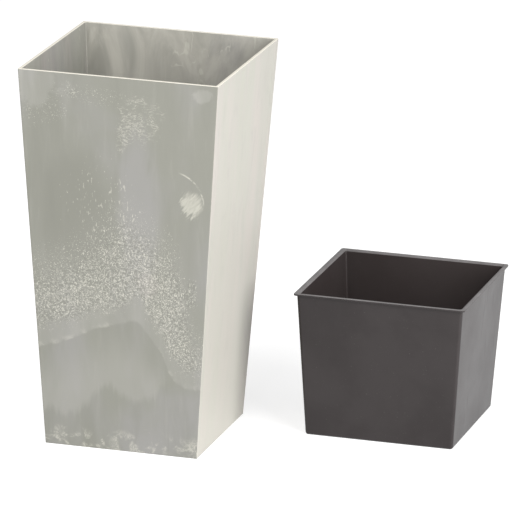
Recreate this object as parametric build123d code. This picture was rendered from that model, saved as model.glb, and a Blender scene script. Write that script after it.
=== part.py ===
from build123d import *
import math
import os

# Self-watering planter: a tall tapered outer pot, and a removable liner with its
# reservoir kit, which stands on the floor beside the pot.
# Millimetres, +Z up. The origin is the centre of the outer pot's underside.
# The kit is modelled about the liner's own centre and is then set down at LINER_X, LINER_Y.

# ---- outer pot
POT_TOP = 325.0
POT_BASE = 250.0
POT_HEIGHT = 615.0
POT_WALL = 5.0
POT_FLOOR = 5.0
POT_FOOT = 3.0
POT_FOOT_RING = 18.0
POT_FOOT_RIB = 12.0
POCKET_CORNER = 5.0
POT_CORNER = 1.5
POT_RIM_ROUND = 0.8
POT_BASE_ROUND = 1.2
RIB_SPREAD = 70.0
RIB_THICK = 4.0
RIB_TOP_DEPTH = 105.0
RIB_ROOT = 2.0

# ---- drain plug, pushed into the pot's floor from inside
PLUG_HOLE_R = 12.0
PLUG_CLEARANCE = 0.3
PLUG_HEAD_R = 20.0
PLUG_HEAD = 4.0
PLUG_GRIP = (26.0, 4.0, 12.0)
PLUG_SEAL = 2.0

# ---- liner
LINER_X = 370.0
LINER_Y = 175.0
LINER_TOP = 271.0
LINER_BASE = 242.0
LINER_HEIGHT = 236.0
LINER_WALL = 4.0
LINER_FLOOR = 4.0
LINER_FOOT = 7.0
LINER_FOOT_RING = 17.0
LINER_FOOT_CORNER = 8.0
LINER_CORNER = 5.0
LINER_BASE_ROUND = 4.5
LINER_INNER_ROUND = 3.0
FLANGE_WIDTH = 279.0
FLANGE_THICK = 3.0
FLANGE_BEVEL = 2.5
LINER_CLEARANCE = 1.0

# ---- overflow standpipe, through the liner's floor
OVERFLOW_X = 22.0
OVERFLOW_Y = 84.0
OVERFLOW_R = 8.0
OVERFLOW_BORE_R = 6.6
OVERFLOW_FLANGE_R = 13.0
OVERFLOW_FLANGE = 2.5
OVERFLOW_SEAL = 1.5
OVERFLOW_LEVEL = 58.0
OVERFLOW_END = 1.5
NUT_THICK = 4.5
STRAINER_WALL = 2.0

# ---- separator tray over the reservoir
TRAY_HALF = 120.0
TRAY_TOP = 72.0
TRAY_PLATE = 3.0
TRAY_RIM = 8.0
TRAY_RIM_WALL = 2.5
TRAY_CORNER = 5.0
SLOT_SIZE = (20.0, 3.5)
SLOT_PITCH = (26.0, 13.0)
SLOT_COLUMNS = 8
SLOT_ROWS = 17
LEG_PLACES = [(0, 0), (0, 104), (0, -104), (104, 0), (-104, 0)]
LEG_WIDTH = 16.0
LEG_THICK = 3.0

# ---- wicking baskets, one in each quarter of the tray
BASKET_SPREAD = 58.0
BASKET_TOP_R = 22.5
BASKET_LOW_R = 18.0
BASKET_WALL = 2.0
BASKET_FLANGE_R = 26.0
BASKET_FLANGE = 2.0
BASKET_BOTTOM = 15.0
BASKET_SLOTS = 8
WICK_R = 15.0
WICK_TOP = 88.0

# ---- fill tube with its hinged cap, in one corner of the tray
TUBE_SPREAD = 93.0
FILL_R = 16.0
FILL_BORE_R = 14.0
FILL_TOP = 200.0
FILL_END = 24.0
COLLAR = 4.0
COLLAR_THICK = 3.0
FOOT_BOTTOM = 12.0
FOOT_TOP = 34.0
FOOT_WALL = 2.0
SLIDE_GAP = 0.1
CAP_R = 18.0
CAP_THICK = 3.0
SPIGOT_R = 13.4
SPIGOT_WALL = 1.8
SPIGOT_DEPTH = 2.5
HINGE_OUT = 21.0
KNUCKLE_R = 3.0
KNUCKLE_HALF = 4.5
LUG_THICK = 3.0
LUG_GAP = 0.4
PIN_R = 1.5
PIN_RUNNING = 0.06
PIN_END = 0.6

# ---- water gauge in the other near corner: cage, float, rod, clear tube and cap
CAGE_R = 20.0
CAGE_WALL = 1.8
CAGE_BOTTOM = 13.0
CAGE_FLOOR = 2.0
CAGE_SLOTS = 8
FLOAT_R = 17.0
FLOAT_HEIGHT = 24.0
ROD_R = 1.5
ROD_TOP = 165.0
ROD_SOCKET = 4.0
TIP_R = 3.6
TIP_LENGTH = 16.0
GAUGE_R = 6.5
GAUGE_BORE_R = 4.8
GAUGE_TOP = 190.0
GAUGE_END = 66.0
GAUGE_GUIDE = 2.0
GAUGE_GUIDE_R = 1.8
GAUGE_MARKS = (156.0, 172.0)
GAUGE_CAP_R = 8.0
GAUGE_CAP_LOW = 180.0
GAUGE_CAP_TOP = 206.0

# ---- worked out from the above
POT_SLOPE = (POT_TOP - POT_BASE) / 2 / POT_HEIGHT
LINER_SLOPE = (LINER_TOP - LINER_BASE) / 2 / LINER_HEIGHT
POT_FLOOR_Z = POT_FOOT + POT_FLOOR
LINER_FLOOR_Z = LINER_FOOT + LINER_FLOOR
RIB_INNER = LINER_TOP / 2 + LINER_CLEARANCE
POCKET_SIZE = POT_BASE / 2 - POT_FOOT_RING - POT_FOOT_RIB / 2
POCKET_MIDDLE = (POT_FOOT_RIB + POCKET_SIZE) / 2
PLUG_AT = (-POCKET_MIDDLE, POCKET_MIDDLE)
TRAY_UNDER = TRAY_TOP - TRAY_PLATE
CAP_AXIS_Z = FILL_TOP + CAP_THICK / 2
FLOAT_BOTTOM = CAGE_BOTTOM + CAGE_FLOOR
FLOAT_TOP = FLOAT_BOTTOM + FLOAT_HEIGHT
FILL_AT = (TUBE_SPREAD, -TUBE_SPREAD)
GAUGE_AT = (-TUBE_SPREAD, -TUBE_SPREAD)
QUARTERS = [(1, 1), (-1, 1), (-1, -1), (1, -1)]
BASKET_PLACES = [(BASKET_SPREAD * x, BASKET_SPREAD * y) for x, y in QUARTERS]


def pot_inner_half(z):
    """Half-width of the pot's inside at height z."""
    return POT_BASE / 2 - POT_WALL + POT_SLOPE * z


def liner_inner_half(z):
    """Half-width of the liner's inside at height z."""
    return LINER_BASE / 2 - LINER_WALL + LINER_SLOPE * z


def tapered_block(low_half, high_half, low_z, high_z):
    """Square block whose four flat sides slope evenly from one half-width to the other."""
    height = high_z - low_z
    slope = math.degrees(math.atan2(low_half - high_half, height))
    square = Pos(0, 0, low_z) * Rectangle(2 * low_half, 2 * low_half)
    return extrude(square, amount=height, taper=slope)


def upright_edges(shape):
    """The corner edges that run from the bottom of a tapered block to its top."""
    return [e for e in shape.edges() if e.bounding_box().size.Z > e.length / 2]


def edges_at(shape, z):
    """The edges that lie level at height z."""
    return [e for e in shape.edges() if abs(e.center().Z - z) < 0.01 and e.bounding_box().size.Z < 0.01]


def disc(radius, low_z, high_z, at=(0, 0)):
    """Upright cylinder between two heights."""
    return Pos(at[0], at[1], low_z) * extrude(Circle(radius), amount=high_z - low_z)


def ring(outer, inner, low_z, high_z, at=(0, 0)):
    """Upright tube between two heights."""
    return Pos(at[0], at[1], low_z) * extrude(Circle(outer) - Circle(inner), amount=high_z - low_z)


def block(size_x, size_y, low_z, high_z, at=(0, 0)):
    """Upright box between two heights."""
    return Pos(at[0], at[1], low_z) * extrude(Rectangle(size_x, size_y), amount=high_z - low_z)


def slots_around(count, radius, width, low_z, high_z, at=(0, 0)):
    """Radial cutters, evenly spaced, that cut upright slots through a round wall."""
    cutters = []
    for i in range(count):
        turn = Rotation(0, 0, 360 / count * (i + 0.5))
        cutter = block(radius * 1.4, width, low_z, high_z, at=(radius, 0))
        cutters.append(Pos(at[0], at[1], 0) * turn * cutter)
    return cutters


def liner_ledge():
    """One upright rib inside the pot, with a level top that the liner's flange rests on."""
    top = POT_HEIGHT - RIB_TOP_DEPTH
    foot = (RIB_INNER - pot_inner_half(0)) / POT_SLOPE
    profile = Polygon(
        (RIB_INNER, foot),
        (RIB_INNER + RIB_ROOT, foot),
        (pot_inner_half(top) + RIB_ROOT, top),
        (RIB_INNER, top),
        align=None,
    )
    return extrude(Plane.XZ * profile, amount=RIB_THICK / 2, both=True)


def foot_pockets():
    """Four pockets under the pot's base, which leave a foot ring and a cross of ribs."""
    outline = RectangleRounded(POCKET_SIZE, POCKET_SIZE, POCKET_CORNER)
    pocket = extrude(outline, amount=POT_FOOT)
    return [Pos(POCKET_MIDDLE * x, POCKET_MIDDLE * y, 0) * pocket for x, y in QUARTERS]


def outer_pot():
    half_base = POT_BASE / 2
    body = tapered_block(half_base, POT_TOP / 2, 0, POT_HEIGHT)
    body = fillet(upright_edges(body), POT_CORNER)
    body = fillet(edges_at(body, 0), POT_BASE_ROUND)
    inside = tapered_block(pot_inner_half(POT_FLOOR_Z), pot_inner_half(POT_HEIGHT + 1),
                           POT_FLOOR_Z, POT_HEIGHT + 1)
    inside = fillet(upright_edges(inside), POT_CORNER)
    body -= inside
    body = fillet(edges_at(body, POT_HEIGHT), POT_RIM_ROUND)
    body -= foot_pockets()
    for side in range(4):
        for along in (-RIB_SPREAD, RIB_SPREAD):
            body += Rotation(0, 0, 90 * side) * Pos(0, along, 0) * liner_ledge()
    body -= disc(PLUG_HOLE_R, POT_FOOT - 1, POT_FLOOR_Z + 1, PLUG_AT)
    return body


def drain_plug():
    at = PLUG_AT
    head_low = POT_FLOOR_Z + PLUG_SEAL
    head_high = head_low + PLUG_HEAD
    stem = disc(PLUG_HOLE_R - PLUG_CLEARANCE, POT_FOOT / 2, head_low, at)
    stem = chamfer(edges_at(stem, POT_FOOT / 2), 1.0)
    head = disc(PLUG_HEAD_R, head_low, head_high, at)
    head = fillet(edges_at(head, head_high), 1.2)
    long, thick, tall = PLUG_GRIP
    grip = block(long, thick, head_high - 1, head_high + tall, at)
    grip = fillet(edges_at(grip, head_high + tall), 1.4)
    return stem + head + grip


def drain_plug_seal():
    inner = PLUG_HOLE_R - PLUG_CLEARANCE
    return ring(PLUG_HEAD_R - 1, inner, POT_FLOOR_Z, POT_FLOOR_Z + PLUG_SEAL, PLUG_AT)


def liner():
    half_base = LINER_BASE / 2
    body = tapered_block(half_base, LINER_TOP / 2, 0, LINER_HEIGHT)
    body = fillet(upright_edges(body), LINER_CORNER)
    body = fillet(edges_at(body, 0), LINER_BASE_ROUND)
    flange = extrude(RectangleRounded(FLANGE_WIDTH, FLANGE_WIDTH, LINER_CORNER), amount=FLANGE_THICK)
    flange = fillet(flange.edges(), 0.6)
    body += Pos(0, 0, LINER_HEIGHT - FLANGE_THICK) * flange
    inside = tapered_block(liner_inner_half(LINER_FLOOR_Z), liner_inner_half(LINER_HEIGHT + 1),
                           LINER_FLOOR_Z, LINER_HEIGHT + 1)
    inside = fillet(upright_edges(inside), LINER_INNER_ROUND)
    inside = fillet(edges_at(inside, LINER_FLOOR_Z), LINER_INNER_ROUND - 0.5)
    body -= inside
    inner_half = liner_inner_half(LINER_HEIGHT) + 0.1
    mouth = [e for e in edges_at(body, LINER_HEIGHT)
             if max(abs(e.center().X), abs(e.center().Y)) < inner_half]
    body = chamfer(mouth, FLANGE_BEVEL)
    recess = LINER_BASE - 2 * LINER_FOOT_RING
    body -= extrude(RectangleRounded(recess, recess, LINER_FOOT_CORNER), amount=LINER_FOOT)
    body -= disc(OVERFLOW_R + 0.5, LINER_FOOT - 1, LINER_FLOOR_Z + 1, (OVERFLOW_X, OVERFLOW_Y))
    return body


def overflow_pipe():
    at = (OVERFLOW_X, OVERFLOW_Y)
    flange_low = LINER_FLOOR_Z + OVERFLOW_SEAL
    pipe = disc(OVERFLOW_R, OVERFLOW_END, OVERFLOW_LEVEL, at)
    pipe += disc(OVERFLOW_FLANGE_R, flange_low, flange_low + OVERFLOW_FLANGE, at)
    pipe -= disc(OVERFLOW_BORE_R, 0, OVERFLOW_LEVEL + 1, at)
    return chamfer(edges_at(pipe, OVERFLOW_END), 0.6)


def overflow_seal():
    at = (OVERFLOW_X, OVERFLOW_Y)
    return ring(OVERFLOW_FLANGE_R, OVERFLOW_R, LINER_FLOOR_Z, LINER_FLOOR_Z + OVERFLOW_SEAL, at)


def overflow_nut():
    low = LINER_FOOT - NUT_THICK
    outline = RegularPolygon(OVERFLOW_FLANGE_R, 6) - Circle(OVERFLOW_R)
    nut = Pos(OVERFLOW_X, OVERFLOW_Y, low) * extrude(outline, amount=NUT_THICK)
    trim = Pos(OVERFLOW_X, OVERFLOW_Y, low) * Cone(
        OVERFLOW_FLANGE_R - 1.5, OVERFLOW_FLANGE_R + NUT_THICK, NUT_THICK,
        align=(Align.CENTER, Align.CENTER, Align.MIN))
    return nut & trim


def overflow_strainer():
    at = (OVERFLOW_X, OVERFLOW_Y)
    inner = OVERFLOW_R
    outer = inner + STRAINER_WALL
    low = OVERFLOW_LEVEL - 10
    high = OVERFLOW_LEVEL + 6
    cap = disc(outer, low, high, at)
    cap = fillet(edges_at(cap, high), 1.2)
    cap -= disc(inner, low - 1, high - STRAINER_WALL, at)
    cap -= slots_around(8, outer, 2.2, OVERFLOW_LEVEL - 3, OVERFLOW_LEVEL + 3, at)
    return cap


def slot_is_clear(x, y):
    """Whether a drain slot at x, y misses the baskets, tubes, legs and the tray's rim."""
    reach = SLOT_SIZE[0] / 2
    for bx, by in BASKET_PLACES:
        if abs(y - by) < BASKET_FLANGE_R + 3 and abs(x - bx) < BASKET_FLANGE_R + reach + 1:
            return False
    for tx, ty in (FILL_AT, GAUGE_AT):
        if abs(y - ty) < CAGE_R + 6 and abs(x - tx) < CAGE_R + reach + 4:
            return False
    for lx, ly in LEG_PLACES:
        if abs(y - ly) < LEG_WIDTH / 2 + 3 and abs(x - lx) < LEG_WIDTH / 2 + reach + 1:
            return False
    return abs(x) + reach < TRAY_HALF - 2 * TRAY_RIM_WALL


def separator_tray():
    outline = RectangleRounded(2 * TRAY_HALF, 2 * TRAY_HALF, TRAY_CORNER)
    inner = 2 * (TRAY_HALF - TRAY_RIM_WALL)
    hollow = RectangleRounded(inner, inner, TRAY_CORNER - TRAY_RIM_WALL)
    tray = Pos(0, 0, TRAY_UNDER) * extrude(outline, amount=TRAY_PLATE + TRAY_RIM)
    tray = fillet(edges_at(tray, TRAY_TOP + TRAY_RIM), 0.8)
    tray -= Pos(0, 0, TRAY_TOP) * extrude(hollow, amount=TRAY_RIM + 1)
    for x, y in LEG_PLACES:
        tray += block(LEG_WIDTH, LEG_THICK, LINER_FLOOR_Z, TRAY_UNDER, (x, y))
        tray += block(LEG_THICK, LEG_WIDTH, LINER_FLOOR_Z, TRAY_UNDER, (x, y))
    tray += ring(CAGE_R + 2.5, CAGE_R + SLIDE_GAP, TRAY_UNDER - 7, TRAY_UNDER, GAUGE_AT)
    for x, y in BASKET_PLACES:
        tray -= disc(BASKET_TOP_R + 0.3, TRAY_UNDER - 1, TRAY_TOP + 1, (x, y))
    tray -= disc(FILL_R + SLIDE_GAP, TRAY_UNDER - 1, TRAY_TOP + 1, FILL_AT)
    tray -= disc(GAUGE_R + SLIDE_GAP, TRAY_UNDER - 1, TRAY_TOP + 1, GAUGE_AT)
    slots = []
    for row in range(SLOT_ROWS):
        y = (row - (SLOT_ROWS - 1) / 2) * SLOT_PITCH[1]
        for column in range(SLOT_COLUMNS):
            x = (column - (SLOT_COLUMNS - 1) / 2) * SLOT_PITCH[0]
            if slot_is_clear(x, y):
                slots.append(block(*SLOT_SIZE, TRAY_UNDER - 1, TRAY_TOP + 1, (x, y)))
    return tray - slots


def wick_basket():
    height = TRAY_TOP - BASKET_BOTTOM
    seat = (Align.CENTER, Align.CENTER, Align.MIN)
    cup = Pos(0, 0, BASKET_BOTTOM) * Cone(BASKET_LOW_R, BASKET_TOP_R, height, align=seat)
    cup = fillet(edges_at(cup, BASKET_BOTTOM), 1.5)
    cup += disc(BASKET_FLANGE_R, TRAY_TOP, TRAY_TOP + BASKET_FLANGE)
    hollow = Cone(BASKET_LOW_R - BASKET_WALL, BASKET_TOP_R - BASKET_WALL + 0.2, height, align=seat)
    cup -= Pos(0, 0, BASKET_BOTTOM + BASKET_WALL) * hollow
    cup = cup - slots_around(BASKET_SLOTS, BASKET_LOW_R, 3.0, BASKET_BOTTOM + 8, TRAY_UNDER - 8)
    return fillet(edges_at(cup, TRAY_TOP + BASKET_FLANGE), 0.6)


def wick_baskets():
    return Compound(children=[Pos(x, y, 0) * wick_basket() for x, y in BASKET_PLACES])


def wicks():
    wick = disc(WICK_R, BASKET_BOTTOM + BASKET_WALL, WICK_TOP)
    wick = fillet(edges_at(wick, WICK_TOP), 3.0)
    return Compound(children=[Pos(x, y, 0) * wick for x, y in BASKET_PLACES])


def hinge_lug(side):
    """One ear of the cap hinge, beside the cap's knuckle, on the fill tube's wall side."""
    start = KNUCKLE_HALF + LUG_GAP
    ear = Polygon(
        (-HINGE_OUT - KNUCKLE_R, CAP_AXIS_Z),
        (-HINGE_OUT - KNUCKLE_R, CAP_AXIS_Z - 3.5),
        (-FILL_BORE_R - 0.7, CAP_AXIS_Z - 13.5),
        (-FILL_BORE_R - 0.7, FILL_TOP - 0.5),
        (-HINGE_OUT + KNUCKLE_R, FILL_TOP - 0.5),
        (-HINGE_OUT + KNUCKLE_R, CAP_AXIS_Z),
        align=None,
    )
    ear += Pos(-HINGE_OUT, CAP_AXIS_Z) * Circle(KNUCKLE_R)
    ear -= Pos(-HINGE_OUT, CAP_AXIS_Z) * Circle(PIN_R)
    plate = extrude(Plane.YZ * ear, amount=LUG_THICK)
    low = start if side > 0 else -start - LUG_THICK
    return Pos(low, 0, 0) * plate


def fill_tube():
    tube = disc(FILL_R, FILL_END, FILL_TOP)
    tube += disc(FILL_R + COLLAR, TRAY_TOP, TRAY_TOP + COLLAR_THICK)
    tube += hinge_lug(1) + hinge_lug(-1)
    tube -= disc(FILL_BORE_R, FILL_END - 1, FILL_TOP + 1)
    return Pos(FILL_AT[0], FILL_AT[1], 0) * tube


def fill_strainer():
    inner = FILL_R + 0.05
    outer = inner + FOOT_WALL
    foot = disc(outer, FOOT_BOTTOM, FOOT_TOP)
    foot = fillet(edges_at(foot, FOOT_BOTTOM), 1.2)
    foot -= disc(inner, FOOT_BOTTOM + FOOT_WALL, FOOT_TOP + 1)
    foot -= slots_around(12, outer, 2.5, FOOT_BOTTOM + FOOT_WALL + 1, FILL_END - 1)
    return Pos(FILL_AT[0], FILL_AT[1], 0) * foot


def across(radius, half_length):
    """Round bar along X on the cap hinge's axis, before the cap is set on its tube."""
    axis = Plane((-half_length, -HINGE_OUT, CAP_AXIS_Z), z_dir=(1, 0, 0))
    return extrude(axis * Circle(radius), amount=2 * half_length)


def fill_cap():
    top = FILL_TOP + CAP_THICK
    lid = disc(CAP_R, FILL_TOP, top)
    lid += block(12, 8, FILL_TOP + 0.8, top, (0, CAP_R))
    lid = fillet(edges_at(lid, top), 0.8)
    lid += ring(SPIGOT_R, SPIGOT_R - SPIGOT_WALL, FILL_TOP - SPIGOT_DEPTH, FILL_TOP)
    arm = HINGE_OUT - CAP_R + 4
    lid += block(2 * KNUCKLE_HALF, arm, FILL_TOP, top, (0, -HINGE_OUT + arm / 2))
    lid += across(KNUCKLE_R, KNUCKLE_HALF)
    lid -= across(PIN_R + PIN_RUNNING, KNUCKLE_HALF + 1)
    return Pos(FILL_AT[0], FILL_AT[1], 0) * lid


def cap_hinge_pin():
    half = KNUCKLE_HALF + LUG_GAP + LUG_THICK + PIN_END
    pin = chamfer(across(PIN_R, half).edges(), 0.3)
    return Pos(FILL_AT[0], FILL_AT[1], 0) * pin


def float_cage():
    cage = disc(CAGE_R, CAGE_BOTTOM, TRAY_UNDER)
    cage = fillet(edges_at(cage, CAGE_BOTTOM), 1.2)
    cage -= disc(CAGE_R - CAGE_WALL, FLOAT_BOTTOM, TRAY_UNDER + 1)
    cage -= slots_around(CAGE_SLOTS, CAGE_R, 3.5, FLOAT_BOTTOM + 3, TRAY_UNDER - 12)
    return Pos(GAUGE_AT[0], GAUGE_AT[1], 0) * cage


def float_body():
    body = disc(FLOAT_R, FLOAT_BOTTOM, FLOAT_TOP)
    body = fillet(body.edges().filter_by(GeomType.CIRCLE), 2.5)
    body -= disc(ROD_R, FLOAT_TOP - ROD_SOCKET, FLOAT_TOP + 1)
    return Pos(GAUGE_AT[0], GAUGE_AT[1], 0) * body


def indicator_rod():
    rod = disc(ROD_R, FLOAT_TOP - ROD_SOCKET, ROD_TOP)
    return Pos(GAUGE_AT[0], GAUGE_AT[1], 0) * rod


def indicator_tip():
    low = ROD_TOP - ROD_SOCKET
    tip = disc(TIP_R, low, low + TIP_LENGTH)
    tip = fillet(edges_at(tip, low + TIP_LENGTH), 2.4)
    tip -= disc(ROD_R, low - 1, ROD_TOP)
    return Pos(GAUGE_AT[0], GAUGE_AT[1], 0) * tip


def gauge_tube():
    tube = disc(GAUGE_R, GAUGE_END, GAUGE_TOP)
    tube += disc(GAUGE_R + COLLAR, TRAY_TOP, TRAY_TOP + COLLAR_THICK)
    for z in GAUGE_MARKS:
        tube += disc(GAUGE_R + 0.4, z, z + 1)
    tube -= disc(GAUGE_BORE_R, GAUGE_END + GAUGE_GUIDE, GAUGE_TOP + 1)
    tube -= disc(GAUGE_GUIDE_R, GAUGE_END - 1, GAUGE_TOP)
    return Pos(GAUGE_AT[0], GAUGE_AT[1], 0) * tube


def gauge_cap():
    cap = disc(GAUGE_CAP_R, GAUGE_CAP_LOW, GAUGE_CAP_TOP)
    cap = fillet(edges_at(cap, GAUGE_CAP_TOP), 4.0)
    cap -= disc(GAUGE_R + 0.05, GAUGE_CAP_LOW - 1, GAUGE_TOP)
    cap -= disc(GAUGE_BORE_R, GAUGE_TOP - 1, GAUGE_CAP_TOP - 1.5)
    return Pos(GAUGE_AT[0], GAUGE_AT[1], 0) * cap


POT_PIECES = {
    "outer_pot": outer_pot,
    "drain_plug": drain_plug,
    "drain_plug_seal": drain_plug_seal,
}
LINER_PIECES = {
    "liner": liner,
    "overflow_pipe": overflow_pipe,
    "overflow_seal": overflow_seal,
    "overflow_nut": overflow_nut,
    "overflow_strainer": overflow_strainer,
    "separator_tray": separator_tray,
    "wick_baskets": wick_baskets,
    "wicks": wicks,
    "fill_tube": fill_tube,
    "fill_strainer": fill_strainer,
    "fill_cap": fill_cap,
    "cap_hinge_pin": cap_hinge_pin,
    "float_cage": float_cage,
    "float": float_body,
    "indicator_rod": indicator_rod,
    "indicator_tip": indicator_tip,
    "gauge_tube": gauge_tube,
    "gauge_cap": gauge_cap,
}

os.makedirs("parts", exist_ok=True)
for name, make in POT_PIECES.items():
    export_step(make(), "parts/" + name + ".step")
for name, make in LINER_PIECES.items():
    export_step(Pos(LINER_X, LINER_Y, 0) * make(), "parts/" + name + ".step")
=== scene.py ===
import math
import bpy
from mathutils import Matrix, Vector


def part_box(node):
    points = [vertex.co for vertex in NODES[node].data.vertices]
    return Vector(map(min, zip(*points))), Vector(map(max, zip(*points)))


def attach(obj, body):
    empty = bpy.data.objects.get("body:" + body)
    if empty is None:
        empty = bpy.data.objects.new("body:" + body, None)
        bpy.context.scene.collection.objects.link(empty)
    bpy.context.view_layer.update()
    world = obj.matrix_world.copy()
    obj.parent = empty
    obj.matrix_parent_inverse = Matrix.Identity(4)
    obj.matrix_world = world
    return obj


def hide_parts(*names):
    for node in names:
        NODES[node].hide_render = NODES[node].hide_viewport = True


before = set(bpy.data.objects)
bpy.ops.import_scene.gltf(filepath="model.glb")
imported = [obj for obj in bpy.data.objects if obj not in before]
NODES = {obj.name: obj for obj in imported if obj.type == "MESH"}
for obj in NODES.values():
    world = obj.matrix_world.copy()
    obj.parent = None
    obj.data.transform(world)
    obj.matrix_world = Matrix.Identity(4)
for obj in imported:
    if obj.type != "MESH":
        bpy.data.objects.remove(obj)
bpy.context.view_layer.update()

from types import SimpleNamespace

import bmesh
import bpy
from mathutils import Matrix, Vector

# ---- sizes in metres, read from the frame where its boxes give them
POT_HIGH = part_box("outer_pot")[1]
POT_HEIGHT = POT_HIGH[2]
POT_TOP_HALF = POT_HIGH[0]
POT_BASE_HALF = 0.125
POT_SLOPE = (POT_TOP_HALF - POT_BASE_HALF) / POT_HEIGHT
LINER_LOW, LINER_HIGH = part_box("liner")
LINER_X = (LINER_LOW[0] + LINER_HIGH[0]) / 2
LINER_Y = (LINER_LOW[1] + LINER_HIGH[1]) / 2
LINER_TOP = LINER_HIGH[2]

# ---- camera: angles in degrees, lengths in metres, lens and sensor in millimetres
CAMERA_AZIMUTH = 16.52
CAMERA_ELEVATION = 16.15
CAMERA_ROLL = 0.96
CAMERA_DISTANCE = 9.854
CAMERA_AIM = Vector((0.1567, 0.0755, 0.2799))
CAMERA_LENS = 437.9
CAMERA_SENSOR = 36.0
CAMERA_CLIP_END = 60.0

# ---- stage: a white floor, a white world, and soft boxes aimed between the pot and the liner
FLOOR_SIZE = 30.0
FLOOR_TONE = (0.5, 0.5, 0.5, 1.0)
FLOOR_ROUGHNESS = 0.55
FLOOR_SHINE = 0.2
FLOOR_GLOW = 0.62
WORLD_STRENGTH = 0.62
WHITE = (1.0, 1.0, 1.0, 1.0)
# azimuth and elevation in degrees, distance and size in metres, power in watts
SOFT_BOXES = {
    "side_card": (63, 19, 3.0, 2.4, 150),
    "top_front": (-18, 46, 3.0, 1.8, 62),
}


# ---------------------------------------------------------------- helpers
# A colour Mix node's sockets: factor, first and second colour, and the blend that comes out
MIX_FACTOR, MIX_FIRST, MIX_SECOND, MIX_RESULT = 0, 6, 7, 2


def placed(name, data):
    """A new object in the scene."""
    thing = bpy.data.objects.new(name, data)
    bpy.context.scene.collection.objects.link(thing)
    return thing


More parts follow.
